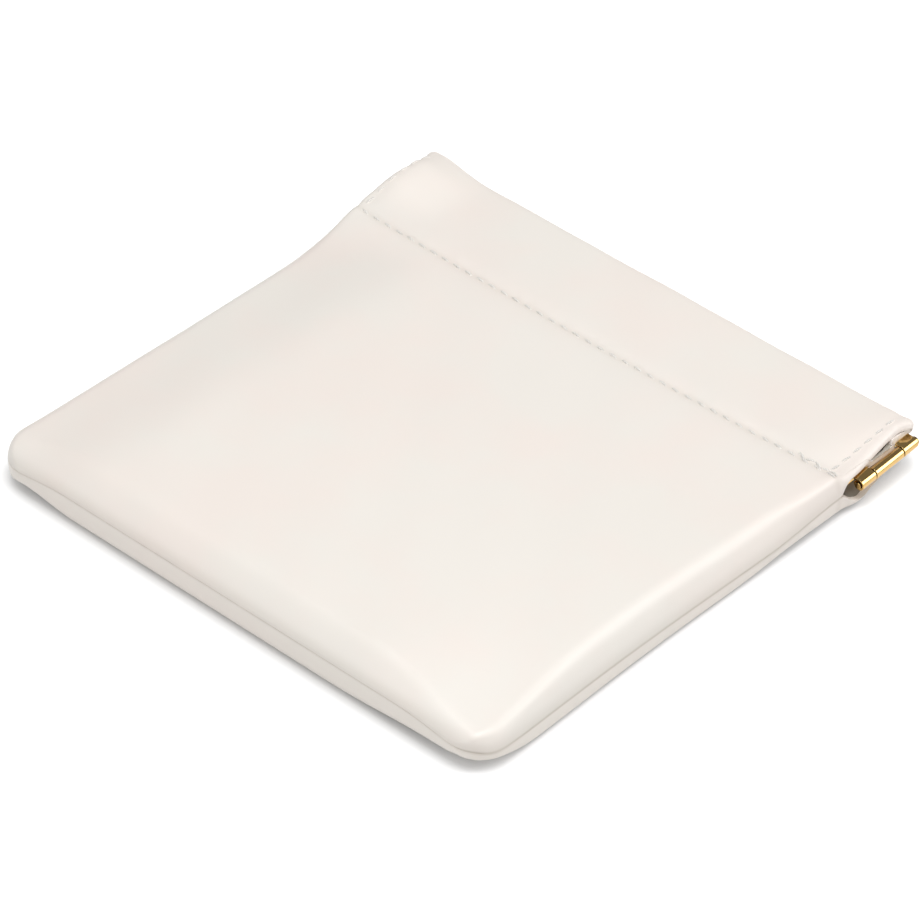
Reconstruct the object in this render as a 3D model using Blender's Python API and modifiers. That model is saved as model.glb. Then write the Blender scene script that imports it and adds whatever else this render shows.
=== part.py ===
"""Leather flex-frame pouch, lying on its back panel.

+X runs along the mouth, +Y from the bottom seam to the mouth and +Z up.
The origin is on the surface it lies on, under the middle of the pouch.
All sizes are in metres.
"""
import math

import bmesh
import bpy
from mathutils import Matrix, Vector

# Pouch outline, seen from above
BODY_WIDTH = 0.0982
BODY_HEIGHT = 0.0956
CORNER_RADIUS = 0.0055
SIDE_WAIST = 0.0005

# Leather and lining
LEATHER = 0.0009
LINING = 0.00035
CLEARANCE = 0.0003
SEAM_GAP = 0.00035

# Heights above the surface that the pouch lies on
CROWN_HEIGHT = 0.0092
BOTTOM_SEAM_HEIGHT = 0.0053
CORNER_SEAM_HEIGHT = 0.0036
SIDE_SEAM_HEIGHT = 0.0037
WAIST_SEAM_HEIGHT = 0.0027
MOUTH_SEAM_HEIGHT = 0.0038
MOUTH_LIFT = 0.0017
SEAM_DIP_START = 0.0126
SEAM_DIP_END = 0.0006
SEAM_RISE_END = 0.0080
SEAM_WAIST_START = 0.0140
SEAM_WAIST_END = 0.0620

# How the panels round into their seams
SIDE_SHOULDER = 0.0075
BOTTOM_SHOULDER = 0.0080
SEAM_LIP = 0.0008
SHOULDER_START = 30.0
CORNER_FULLNESS = 4.0
FLOOR_ROUND = 0.0019
WALL_LEAN = 0.0001
CROWN_FALL_START = 0.0240
CROWN_SIDE_FALL = 0.25
FLAT_BACK_END = 0.0540
SIDE_OPENING_START = 0.0018
SIDE_OPENING_END = 0.0035

# Casing: the turned hem that holds one spring strip
HEM_DEPTH = 0.0181
HEM_TAIL = 0.0012
HEM_END_RELIEF = 0.0056
RELIEF_TURN = (54.0, 144.0)
CASING_END_SETBACK = 0.0002
MOUTH_GAP = 0.0004

# Flex frame: two spring strips joined by a pin at each end, just outside the pouch's sides
PIN_OVERHANG = 0.0004
FRAME_LENGTH = BODY_WIDTH + 2.0 * PIN_OVERHANG
STRIP_WIDTH = 0.0127
STRIP_THICKNESS = 0.00035
STRIP_EDGE_CLEARANCE = 0.0006
PIN_RADIUS = 0.00050
PIN_CLEARANCE = 0.00018
OUTER_KNUCKLE = 0.00305
KNUCKLE_GAP = 0.00020
NOTCH_DEPTH = 0.0024
KNUCKLE_WRAP = 280.0
OUTER_KNUCKLES = (0, 4)
MIDDLE_KNUCKLE = (2,)
RAMP_LENGTH = 0.0030
SIDE_LINK = 0.0330
FLEXURE_GAP = 0.0003

# Pin ends
HEAD_RADIUS = 0.00086
HEAD_THICKNESS = 0.00050
HEAD_CHAMFER = 0.00014
PEEN_RADIUS = 0.00070
PEEN_THICKNESS = 0.00025
PIN_END_CLEARANCE = 0.00020

# Mesh fineness
EDGE_STEPS = 6
FOLD_STEPS = 8
MIDDLE_COLUMNS = 14
BODY_ROWS = 13
CASING_ROW_SHARES = (0.06, 0.12, 0.2, 0.45, 0.7)
HEM_ROW_SHARES = (0.35, 0.7, 1.0)
STITCH_ROW_SHARES = (0.5, 0.25, 0.12, 0.0)
KNUCKLE_STEP = 20.0
RAMP_STEPS = 4
PIN_SIDES = 18
SHARP_ANGLE = 35.0
MERGE_DISTANCE = 0.00001

# Levels worked out from the sizes above
CASING_HALF = MOUTH_GAP / 2 + 2 * LEATHER + 2 * CLEARANCE + STRIP_THICKNESS
MIDPLANE = MOUTH_LIFT + CASING_HALF
LEAF_OFFSET = MOUTH_GAP / 2 + LEATHER + CLEARANCE + STRIP_THICKNESS / 2
FOLD_RADIUS = (CASING_HALF - MOUTH_GAP / 2) / 2
FOLD_Y = BODY_HEIGHT - FOLD_RADIUS
STITCH_Y = BODY_HEIGHT - HEM_DEPTH
STRIP_Y = BODY_HEIGHT - LEATHER - STRIP_EDGE_CLEARANCE - STRIP_WIDTH / 2
CENTRE_Y = BODY_HEIGHT / 2
PIN_X = FRAME_LENGTH / 2
FLEXURE_X = PIN_X - SIDE_LINK
ROLL_RADIUS = PIN_RADIUS + PIN_CLEARANCE + STRIP_THICKNESS / 2


def clear_scene():
    """Remove every object, so that the pouch stands alone."""
    for item in list(bpy.data.objects):
        bpy.data.objects.remove(item, do_unlink=True)


def make_material(name, colour, roughness, metallic=0.0):
    """A Principled material with one colour."""
    material = bpy.data.materials.new(name)
    material.use_nodes = True
    shader = material.node_tree.nodes["Principled BSDF"]
    shader.inputs["Base Color"].default_value = (*colour, 1.0)
    shader.inputs["Roughness"].default_value = roughness
    shader.inputs["Metallic"].default_value = metallic
    return material


def add_object(name, mesh, collection, material, origin=(0.0, 0.0, 0.0)):
    """Put a mesh that is modelled in world space on an object with its own origin."""
    mesh.transform(Matrix.Translation(-Vector(origin)))
    mesh.materials.append(material)
    item = bpy.data.objects.new(name, mesh)
    item.location = origin
    collection.objects.link(item)
    return item


def add_solidify(item, thickness, offset):
    """Give an open sheet its thickness."""
    modifier = item.modifiers.new("Thickness", "SOLIDIFY")
    modifier.thickness = thickness
    modifier.offset = offset
    modifier.use_even_offset = True
    modifier.use_quality_normals = True


def attach(child, parent):
    """Parent a piece and leave it where it is."""
    bpy.context.view_layer.update()
    child.parent = parent
    child.matrix_parent_inverse = parent.matrix_world.inverted()


def ease(start, end, value):
    """A smooth step from 0 at start to 1 at end."""
    share = min(max((value - start) / (end - start), 0.0), 1.0)
    return share * share * (3.0 - 2.0 * share)


def mix(first, second, share):
    """The value a share of the way from first to second."""
    return first + (second - first) * share


def edge_profile(width, start=0.0):
    """Insets from a seam with the share of the drop left: a quarter round cut at an angle."""
    first = math.radians(start)
    angles = [mix(first, math.pi / 2, step / EDGE_STEPS) for step in range(EDGE_STEPS + 1)]
    reach = math.cos(first)
    rise = 1.0 - math.sin(first)
    return [(width * (1.0 - math.cos(angle) / reach), (1.0 - math.sin(angle)) / rise)
            for angle in angles]


def shoulder_profile(width):
    """Insets and drops of the front's edge: a short upright lip, then a sloping round."""
    lip = 1.0 - SEAM_LIP / (CROWN_HEIGHT - SIDE_SEAM_HEIGHT)
    bend = edge_profile(width - WALL_LEAN, SHOULDER_START)
    return [(0.0, 1.0)] + [(WALL_LEAN + inset, lip * drop) for inset, drop in bend]


def wall_profile(width, depth):
    """Insets and drops of the back's low wall: leaning down, round to the floor, then flat."""
    share = (FLOOR_ROUND - depth) / (SIDE_SEAM_HEIGHT - depth)
    turn = edge_profile(FLOOR_ROUND - depth - WALL_LEAN)
    bend = [(WALL_LEAN + inset, share * drop) for inset, drop in turn]
    flat = [(inset, 0.0) for inset, _ in edge_profile(width - depth, SHOULDER_START)
            if inset > FLOOR_ROUND]
    return [(0.0, 1.0)] + bend + flat


def seam_height(x, y):
    """Height of the seam between the panels, beside the point x, y."""
    edge = BODY_WIDTH / 2
    toward_corner = ease(edge - SEAM_DIP_START, edge - SEAM_DIP_END, abs(x))
    bottom = mix(BOTTOM_SEAM_HEIGHT, CORNER_SEAM_HEIGHT, toward_corner)
    side = mix(CORNER_SEAM_HEIGHT, SIDE_SEAM_HEIGHT, ease(0.0, SEAM_RISE_END, y))
    side = mix(side, WAIST_SEAM_HEIGHT, ease(SEAM_WAIST_START, SEAM_WAIST_END, y))
    side = mix(side, MOUTH_SEAM_HEIGHT, ease(SEAM_WAIST_END, STITCH_Y, y))
    return mix(bottom, side, ease(0.0, CORNER_RADIUS, y))


def side_opening(y):
    """Share by which a panel's side edges have left the seam for the casing's open ends."""
    return ease(STITCH_Y - SIDE_OPENING_START, STITCH_Y + SIDE_OPENING_END, y)


def outline_half_width(y, depth):
    """Half the width at y from the bottom seam, for an outline drawn in by a depth."""
    waist = SIDE_WAIST * math.sin(math.pi * min(y / STITCH_Y, 1.0)) ** 2
    half = BODY_WIDTH / 2 - waist - depth
    half -= CASING_END_SETBACK * side_opening(y)
    corner = CORNER_RADIUS - depth
    below = CORNER_RADIUS - y
    if below > 0.0:
        half -= corner - math.sqrt(max(corner ** 2 - below ** 2, 0.0))
    return half


def front_height(x, y, drop, depth):
    """Height of a sheet in the front: a filled crown that falls to the mouth."""
    along = min(max((y - CROWN_FALL_START) / (STITCH_Y - CROWN_FALL_START), 0.0), 1.0)
    fall = 0.5 * (1.0 + math.cos(math.pi * along))
    side = 1.0 - CROWN_SIDE_FALL * (2.0 * x / BODY_WIDTH) ** 2
    top = mix(MIDPLANE + CASING_HALF, CROWN_HEIGHT, fall * side) - depth
    return mix(top, seam_height(x, y) + SEAM_GAP, drop)


def back_height(x, y, drop, depth):
    """Height of a sheet in the back: flat, then lifted towards the mouth."""
    bottom = MOUTH_LIFT * ease(FLAT_BACK_END, STITCH_Y, y) + depth
    return mix(bottom, seam_height(x, y), drop)


def joined_drop(first, second):
    """Drop where a side edge meets the bottom edge: near the larger, so that corners are full."""
    larger = (first ** CORNER_FULLNESS + second ** CORNER_FULLNESS) ** (1.0 / CORNER_FULLNESS)
    return min(larger, 1.0 - (1.0 - first) * (1.0 - second))


def body_rows(bottom_profile, depth):
    """Rows up the body: distance from the bottom seam and share of the bottom drop."""
    rows = [(depth + inset, drop) for inset, drop in bottom_profile]
    first = rows[-1][0]
    step = (STITCH_Y - first) / BODY_ROWS
    rows += [(first + step * count, 0.0) for count in range(1, BODY_ROWS)]
    rows += [(STITCH_Y - step * share, 0.0) for share in STITCH_ROW_SHARES]
    return rows


def across(profile):
    """Columns from side to side: share of the half width, inset from it and share of the drop."""
    left = [(-1.0, inset, drop) for inset, drop in profile]
    right = [(1.0, inset, drop) for inset, drop in reversed(profile)]
    flat_start = profile[-1][0]
    shares = [mix(-1.0, 1.0, step / MIDDLE_COLUMNS) for step in range(1, MIDDLE_COLUMNS)]
    return left + [(share, flat_start, 0.0) for share in shares] + right


def column_x(column, half_width):
    """Place of a column on a row of the given half width."""
    side, inset, _ = column
    return side * (half_width - inset)


def sheet_profiles(way, depth):
    """Edge profiles of a sheet at its sides and its bottom; way is 1 in the front."""
    if way > 0:
        return shoulder_profile(SIDE_SHOULDER - depth), shoulder_profile(BOTTOM_SHOULDER - depth)
    return wall_profile(SIDE_SHOULDER, depth), wall_profile(BOTTOM_SHOULDER, depth)


def place_grid(rows, columns):
    """A grid sheet whose corner in row r and column c lies at rows[r][c]."""
    mesh = bmesh.new()
    last_column = len(columns) - 1
    last_row = len(rows) - 1
    bmesh.ops.create_grid(mesh, x_segments=last_column, y_segments=last_row, size=1.0)
    for corner in mesh.verts:
        column = round((corner.co.x + 1.0) / 2.0 * last_column)
        row = round((corner.co.y + 1.0) / 2.0 * last_row)
        x, y, z = rows[row][column]
        corner.co = (x, y - CENTRE_Y, z)
    return mesh


def body_points(way, columns, rows, depth, opens):
    """Points of a sheet from the bottom seam to the stitch line, where a panel's sides open."""
    face = front_height if way > 0 else back_height
    points = []
    for y, bottom_drop in rows:
        half = outline_half_width(y, depth)
        closed = 1.0 - opens * side_opening(y)
        line = []
        for column in columns:
            x = column_x(column, half)
            drop = joined_drop(column[2] * closed, bottom_drop)
            line.append((x, y, face(x, y, drop, depth)))
        points.append(line)
    return points


def casing_points(columns, way):
    """Points of the casing: up to the fold, round it and back along the hem."""
    flat = [(mix(STITCH_Y, FOLD_Y, share), 0.0) for share in CASING_ROW_SHARES]
    points = body_points(way, columns, flat, 0.0, 1.0)
    half = outline_half_width(BODY_HEIGHT, 0.0)
    fold_z = MIDPLANE + way * (CASING_HALF - FOLD_RADIUS)
    relief_start, relief_end = (math.radians(turn) for turn in RELIEF_TURN)
    rows = []
    for step in range(FOLD_STEPS + 1):
        angle = math.pi * step / FOLD_STEPS
        relief = HEM_END_RELIEF * ease(relief_start, relief_end, angle)
        y = FOLD_Y + FOLD_RADIUS * math.sin(angle)
        rows.append((y, fold_z + way * FOLD_RADIUS * math.cos(angle), half - relief))
    inner = MIDPLANE + way * MOUTH_GAP / 2
    for share in HEM_ROW_SHARES:
        rows.append((mix(FOLD_Y, STITCH_Y - HEM_TAIL, share), inner, half - HEM_END_RELIEF))
    points += [[(column_x(column, width), y, z) for column in columns] for y, z, width in rows]
    return points


def add_sheet(name, points, columns, way, thickness, collection, material):
    """A sheet through a grid of points, thickened away from its outer face."""
    sheet = place_grid(points, columns)
    if way < 0:
        bmesh.ops.reverse_faces(sheet, faces=sheet.faces)
    mesh = bpy.data.meshes.new(name)
    sheet.to_mesh(mesh)
    sheet.free()
    mesh.shade_smooth()
    item = add_object(name, mesh, collection, material)
    add_solidify(item, thickness, -1.0)
    return item


def make_panel(name, way, collection, material):
    """One leather panel with its turned hem; way is 1 for the front and -1 for the back."""
    side_profile, bottom_profile = sheet_profiles(way, 0.0)
    columns = across(side_profile)
    body = body_points(way, columns, body_rows(bottom_profile, 0.0), 0.0, 1.0)
    points = body + casing_points(columns, way)
    return add_sheet(name, points, columns, way, LEATHER, collection, material)


def make_lining(name, way, collection, material):
    """The thin lining that lies inside a panel and ends under its hem."""
    depth = LEATHER + CLEARANCE
    side_profile, bottom_profile = sheet_profiles(way, depth)
    columns = across(side_profile)
    points = body_points(way, columns, body_rows(bottom_profile, depth), depth, 0.0)
    return add_sheet(name, points, columns, way, LINING, collection, material)


def strip_path(side, way):
    """Middle line of a strip's end length in X and Z: leaf, ramp and rolled knuckle."""
    points = [(FLEXURE_X + FLEXURE_GAP / 2, LEAF_OFFSET)]
    ramp_start = PIN_X - RAMP_LENGTH - ROLL_RADIUS
    points.append((mix(FLEXURE_X, ramp_start, 0.5), LEAF_OFFSET))
    for step in range(RAMP_STEPS + 1):
        share = step / RAMP_STEPS
        x = ramp_start + RAMP_LENGTH * share
        points.append((x, mix(LEAF_OFFSET, ROLL_RADIUS, ease(0.0, 1.0, share))))
    for step in range(int(KNUCKLE_WRAP / KNUCKLE_STEP) + 1):
        angle = math.radians(90.0 - step * KNUCKLE_STEP)
        points.append((PIN_X + ROLL_RADIUS * math.cos(angle), ROLL_RADIUS * math.sin(angle)))
    return [(side * x, MIDPLANE + way * z) for x, z in points]


def knuckle_bounds():
    """Limits of the knuckles across the strip, from its bottom-side edge."""
    inner_start = OUTER_KNUCKLE + KNUCKLE_GAP
    inner_end = STRIP_WIDTH - OUTER_KNUCKLE - KNUCKLE_GAP
    bounds = [0.0, OUTER_KNUCKLE, inner_start, inner_end, STRIP_WIDTH - OUTER_KNUCKLE, STRIP_WIDTH]
    return [STRIP_Y - STRIP_WIDTH / 2 + bound for bound in bounds]


def make_strip_end(name, side, way, origin, collection, material):
    """An end length of a spring strip: two outer knuckles on the front, one on the back."""
    path = strip_path(side, way)
    bounds = knuckle_bounds()
    rows = [[(x, y, z) for y in bounds] for x, z in path]
    sheet = place_grid(rows, bounds)
    keep = OUTER_KNUCKLES if way > 0 else MIDDLE_KNUCKLE
    notch_x = PIN_X - NOTCH_DEPTH
    centres = [mix(low, high, 0.5) - CENTRE_Y for low, high in zip(bounds, bounds[1:])]
    cut = []
    for face in sheet.faces:
        middle = face.calc_center_median()
        strip = min(range(len(centres)), key=lambda index: abs(centres[index] - middle.y))
        if abs(middle.x) > notch_x and strip not in keep:
            cut.append(face)
    bmesh.ops.delete(sheet, geom=cut, context="FACES")
    mesh = bpy.data.meshes.new(name)
    sheet.to_mesh(mesh)
    sheet.free()
    mesh.shade_smooth()
    mesh.set_sharp_from_angle(angle=math.radians(SHARP_ANGLE))
    item = add_object(name, mesh, collection, material, origin)
    add_solidify(item, STRIP_THICKNESS, 0.0)
    return item


def make_strip_middle(name, way, collection, material):
    """The straight middle length of a spring strip."""
    centre = (0.0, STRIP_Y - CENTRE_Y, MIDPLANE + way * LEAF_OFFSET)
    plate = bmesh.new()
    bmesh.ops.create_cube(plate, size=1.0)
    size = (2.0 * FLEXURE_X - FLEXURE_GAP, STRIP_WIDTH, STRIP_THICKNESS)
    bmesh.ops.scale(plate, vec=size, verts=plate.verts)
    bmesh.ops.translate(plate, vec=centre, verts=plate.verts)
    mesh = bpy.data.meshes.new(name)
    plate.to_mesh(mesh)
    plate.free()
    return add_object(name, mesh, collection, material, centre)


def make_pin(name, side, collection, material):
    """A turned hinge pin with a chamfered head towards the bottom seam and a peened end."""
    head_face = STRIP_WIDTH / 2 + PIN_END_CLEARANCE
    top = head_face + HEAD_THICKNESS
    peen_face = -STRIP_WIDTH / 2 - PIN_END_CLEARANCE
    profile = [
        (0.0, top),
        (HEAD_RADIUS - HEAD_CHAMFER, top),
        (HEAD_RADIUS, top - HEAD_CHAMFER),
        (HEAD_RADIUS, head_face),
        (PIN_RADIUS, head_face),
        (PIN_RADIUS, peen_face),
        (PEEN_RADIUS, peen_face),
        (PIN_RADIUS, peen_face - PEEN_THICKNESS),
        (0.0, peen_face - PEEN_THICKNESS),
    ]
    outline = bmesh.new()
    corners = [outline.verts.new((radius, 0.0, height)) for radius, height in profile]
    for start, end in zip(corners, corners[1:]):
        outline.edges.new((start, end))
    mesh = bpy.data.meshes.new(name)
    outline.to_mesh(mesh)
    outline.free()
    pin = add_object(name, mesh, collection, material)
    pin.location = (side * PIN_X, STRIP_Y - CENTRE_Y, MIDPLANE)
    pin.rotation_euler = (math.pi / 2, 0.0, 0.0)
    screw = pin.modifiers.new("Turned", "SCREW")
    screw.steps = PIN_SIDES
    screw.render_steps = PIN_SIDES
    screw.use_merge_vertices = True
    screw.merge_threshold = MERGE_DISTANCE
    screw.use_smooth_shade = True
    return pin


def build():
    """Build the whole pouch."""
    clear_scene()
    pouch = bpy.data.collections.new("tech_accessory_pouch")
    bpy.context.scene.collection.children.link(pouch)

    front_leather = make_material("front_leather", (0.88, 0.83, 0.77), 0.42)
    back_leather = make_material("back_leather", (0.86, 0.81, 0.75), 0.45)
    front_cloth = make_material("front_lining_cloth", (0.62, 0.56, 0.48), 0.85)
    back_cloth = make_material("back_lining_cloth", (0.60, 0.54, 0.46), 0.85)

    make_panel("front_panel", 1.0, pouch, front_leather)
    make_panel("back_panel", -1.0, pouch, back_leather)
    make_lining("front_lining", 1.0, pouch, front_cloth)
    make_lining("back_lining", -1.0, pouch, back_cloth)

    brass = {}
    for place in ("front_middle", "front_left", "front_right",
                  "back_middle", "back_left", "back_right"):
        brass[place] = make_material(place + "_brass", (0.66, 0.49, 0.20), 0.22, 1.0)
    front_middle = make_strip_middle("front_spring_middle", 1.0, pouch, brass["front_middle"])
    make_strip_middle("back_spring_middle", -1.0, pouch, brass["back_middle"])
    for side, word in ((-1.0, "left"), (1.0, "right")):
        flexure = (side * FLEXURE_X, STRIP_Y - CENTRE_Y, MIDPLANE + LEAF_OFFSET)
        pin_place = (side * PIN_X, STRIP_Y - CENTRE_Y, MIDPLANE)
        front_end = make_strip_end("front_spring_" + word, side, 1.0, flexure, pouch,
                                   brass["front_" + word])
        back_end = make_strip_end("back_spring_" + word, side, -1.0, pin_place, pouch,
                                  brass["back_" + word])
        pin_brass = make_material(word + "_pin_brass", (0.60, 0.44, 0.18), 0.25, 1.0)
        pin = make_pin("hinge_pin_" + word, side, pouch, pin_brass)
        attach(front_end, front_middle)
        attach(pin, front_end)
        attach(back_end, front_end)


build()
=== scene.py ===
"""Looks of the flex frame pouch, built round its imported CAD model. Sizes are in metres."""
import math

import bmesh
import bpy
from mathutils import Matrix, Vector
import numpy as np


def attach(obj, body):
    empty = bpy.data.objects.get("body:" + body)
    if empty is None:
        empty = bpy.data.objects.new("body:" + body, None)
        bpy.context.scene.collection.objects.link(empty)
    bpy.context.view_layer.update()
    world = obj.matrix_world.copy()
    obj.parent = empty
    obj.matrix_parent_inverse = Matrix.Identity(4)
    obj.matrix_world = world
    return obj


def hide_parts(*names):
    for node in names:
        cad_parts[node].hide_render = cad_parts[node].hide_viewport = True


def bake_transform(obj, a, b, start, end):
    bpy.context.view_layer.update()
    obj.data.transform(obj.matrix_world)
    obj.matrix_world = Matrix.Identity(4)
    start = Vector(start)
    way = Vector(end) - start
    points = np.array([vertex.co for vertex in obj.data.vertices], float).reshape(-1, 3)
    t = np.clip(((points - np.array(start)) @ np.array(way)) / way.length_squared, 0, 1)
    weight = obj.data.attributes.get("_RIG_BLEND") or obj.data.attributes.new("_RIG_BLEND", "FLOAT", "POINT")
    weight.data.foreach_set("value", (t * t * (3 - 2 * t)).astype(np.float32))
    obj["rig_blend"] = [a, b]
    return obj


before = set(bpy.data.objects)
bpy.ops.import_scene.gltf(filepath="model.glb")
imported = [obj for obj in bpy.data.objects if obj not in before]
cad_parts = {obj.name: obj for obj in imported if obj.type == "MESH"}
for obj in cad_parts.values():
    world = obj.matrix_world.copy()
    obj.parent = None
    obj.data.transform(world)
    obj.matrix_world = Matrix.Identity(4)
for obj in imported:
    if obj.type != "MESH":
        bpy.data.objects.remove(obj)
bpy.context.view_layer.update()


# Camera: a long lens that looks down at the pouch from its front right, so that the
# near corner, the bottom seam and the end of the mouth with its hinge are all in view.
view_point = Vector((-0.00014, 0.0019, 0.0))
camera_turn = math.radians(42.76)
camera_rise = math.radians(39.70)
camera_distance = 0.8044
lens_length = 211.6
nearest_view = 0.01
toward_camera = Vector((math.sin(camera_turn) * math.cos(camera_rise),
                        -math.cos(camera_turn) * math.cos(camera_rise),
                        math.sin(camera_rise)))
camera_data = bpy.data.cameras.new("camera")
camera_data.lens = lens_length
camera_data.clip_start = nearest_view
camera = bpy.data.objects.new("camera", camera_data)
bpy.context.scene.collection.objects.link(camera)
camera.location = view_point + toward_camera * camera_distance
camera.rotation_euler = toward_camera.to_track_quat("Z", "Y").to_euler()
bpy.context.scene.camera = camera


# Light: a dim studio tent, a tall key lamp behind on the right, which draws the highlights
# along the right shoulder and the hinge, one fill lamp overhead and one low in front.
def add_softbox(name, direction, distance, width, depth, power):
    """A rectangular lamp that faces the pouch from a direction."""
    lamp_data = bpy.data.lights.new(name, "AREA")
    lamp_data.shape = "RECTANGLE"
    lamp_data.size = width
    lamp_data.size_y = depth
    lamp_data.energy = power
    lamp = bpy.data.objects.new(name, lamp_data)
    bpy.context.scene.collection.objects.link(lamp)
    toward_lamp = Vector(direction).normalized()
    lamp.location = toward_lamp * distance
    lamp.rotation_euler = toward_lamp.to_track_quat("Z", "Y").to_euler()


add_softbox("key_softbox", direction=(0.645, 0.565, 0.515), distance=1.8,
            width=0.50, depth=1.50, power=12.2)
add_softbox("top_softbox", direction=(0.10, -0.08, 0.99), distance=0.5,
            width=0.30, depth=0.30, power=1.53)
add_softbox("front_softbox", direction=(0.10, -0.95, 0.20), distance=1.1,
            width=0.60, depth=0.40, power=2.8)

tent = bpy.data.worlds.new("studio_tent")
tent.use_nodes = True
bpy.context.scene.world = tent
tent_light = tent.node_tree.nodes["Background"]
tent_light.inputs["Color"].default_value = (1.0, 0.99, 0.98, 1.0)
tent_light.inputs["Strength"].default_value = 0.25
bpy.context.scene.view_settings.view_transform = "Standard"


# Floor: a sheet of white studio card. It adds white of its own for the camera and for
# reflections, so that the card photographs white and still takes the pouch's shadow; close
# to the pouch that added white fades out, as a painted contact shadow.
card_size = 6.0
below_pouch = 0.00002


def math_node(nodes, operation, second=None):
    """A math node for one operation, with its second value where one is given."""
    node = nodes.new("ShaderNodeMath")
    node.operation = operation
    if second is not None:
        node.inputs[1].default_value = second
    return node


bpy.ops.object.select_all(action="DESELECT")
bpy.ops.mesh.primitive_plane_add(size=card_size, location=(0.0, 0.0, -below_pouch))
floor = bpy.context.object
floor.name = "floor"
floor_card = bpy.data.materials.new("studio_card")
floor_card.use_nodes = True
card_nodes, card_links = floor_card.node_tree.nodes, floor_card.node_tree.links
card_shader = card_nodes["Principled BSDF"]
card_shader.inputs["Base Color"].default_value = (0.66, 0.66, 0.66, 1.0)
card_shader.inputs["Roughness"].default_value = 0.9
card_shader.inputs["Specular IOR Level"].default_value = 0.0
card_ray = card_nodes.new("ShaderNodeLightPath")
camera_or_glossy = math_node(card_nodes, "MAXIMUM")
any_seen_ray = math_node(card_nodes, "MAXIMUM")
white_share = math_node(card_nodes, "MULTIPLY", 0.72)
card_links.new(card_ray.outputs["Is Camera Ray"], camera_or_glossy.inputs[0])
card_links.new(card_ray.outputs["Is Glossy Ray"], camera_or_glossy.inputs[1])
card_links.new(camera_or_glossy.outputs[0], any_seen_ray.inputs[0])
card_links.new(card_ray.outputs["Is Transmission Ray"], any_seen_ray.inputs[1])
card_links.new(any_seen_ray.outputs[0], white_share.inputs[0])
# Painted contact shadow: the added white fades out where the pouch is near.
near_object = card_nodes.new("ShaderNodeAmbientOcclusion")
near_object.samples = 16
near_object.inputs["Distance"].default_value = 0.004
contact_shade = math_node(card_nodes, "POWER", 1.1)
card_links.new(near_object.outputs["AO"], contact_shade.inputs[0])
shaded_share = math_node(card_nodes, "MULTIPLY")
card_links.new(white_share.outputs[0], shaded_share.inputs[0])
card_links.new(contact_shade.outputs[0], shaded_share.inputs[1])
card_shader.inputs["Emission Color"].default_value = (1.0, 1.0, 1.0, 1.0)
card_links.new(shaded_share.outputs[0], card_shader.inputs["Emission Strength"])
floor.data.materials.append(floor_card)


# Front panel: one piece of smooth ivory leather, cut with its casing allowance. Its sides
# and bottom are sewn to the back panel inside out and turned; its top edge is folded in
# over the spring strip and stitched down, and the casing's two ends are turned and sewn.
pouch_width = 0.0982
pouch_height = 0.0956
corner_radius = 0.0055
left_corner_radius = 0.0067
side_waist = 0.0005
leather_thickness = 0.0009
edge_round = 0.00022
tolerance = 0.00001

# Lines across the pouch, up from its bottom seam, and levels, up from the table.
middle_line = pouch_height / 2
crown_end = 0.0240
stitch_line = 0.0775
fold_radius = 0.001375
fold_line = pouch_height - fold_radius
crown_level = 0.0092
casing_level = 0.0076
mouth_level = 0.00465

# Level of the seam along the bottom and up the sides.
bottom_seam_middle = 0.0053
bottom_seam_corner = 0.0041
side_seam_corner = 0.0036
side_seam_near = 0.0033
side_seam_middle = 0.0027
side_seam_casing = 0.0038
usual_seam_level = 0.0037
seam_gap = 0.00006

# The front rises from the seam in a short lip and a round shoulder, which is fuller by the
# casing and at the corners, and falls a little to its left side and its near corner.
side_shoulder = 0.0031
bottom_shoulder = 0.0056
seam_lip = 0.0008
lip_lean = 0.0001
shoulder_start = math.radians(30.0)
shoulder_steps = 10
corner_power = 6
casing_fullness = 2.0
corner_fullness = 0.35
near_corner_fullness = 0.9
left_fall = 0.0018
near_corner_fall = 0.0023

# Casing: its narrower open ends, its stitch rows and the dents that they pull.
casing_narrowing = 0.0002
casing_spread = 0.0045
front_recess = 0.0010
front_tip = 0.0015
back_reach = 0.0007
roll_width = 0.0012
front_roll = 0.0011
back_roll = 0.0006
row_end = 0.0455
row_sag = 0.0006
row_dent_width = 0.0013
front_row_dent = 0.00034
end_rows = (-0.0474, 0.0462)
end_row_dent_width = 0.0009
end_row_dent = 0.00016
rim_place = 0.0470
rim_level = mouth_level + 0.0012

# The casing's left end arches over the hidden hinge; its right end dips beside the other.
arch_height = 0.0022
arch_at_mouth = 0.0009
right_dip = 0.0010
mouth_lift = 0.00030

# Hem: its ends are drawn in, apart from a tab on the front that lies beside the knuckles.
hem_runs = (0.0031, 0.0004, 0.0060, 0.0004, 0.0071)
fold_draw = 0.006
hem_draw = 0.12
tab_low, tab_high = 0.0846, 0.0909
tab_draw = 0.0050

middle_columns = 40
body_rows = 26
below_row = 0.0025
casing_rows = 8
fold_steps = 10


def ease(start, end, value):
    """A smooth step from 0 at start to 1 at end."""
    share = min(max((value - start) / (end - start), 0.0), 1.0)
    return share * share * (3.0 - 2.0 * share)


def mix(first, second, share):
    """The value a share of the way from first to second."""
    return first + (second - first) * share


# In the forms below, x runs from the middle and y up from the bottom seam, and the first
# two values of each ease are the places where a shape sets in and where it is complete.
def seam_level(x, y):
    """Height of the turned seam round the pouch."""
    bottom = mix(bottom_seam_middle, bottom_seam_corner, ease(0.0335, 0.0460, abs(x)))
    side = mix(side_seam_corner, side_seam_near, ease(0.0, 0.0100, y))
    side = mix(side, side_seam_middle, ease(0.0140, 0.0620, y))
    side = mix(side, side_seam_casing, ease(0.0620, stitch_line, y))
    return mix(bottom, side, ease(0.0, 0.0035, y))


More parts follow.
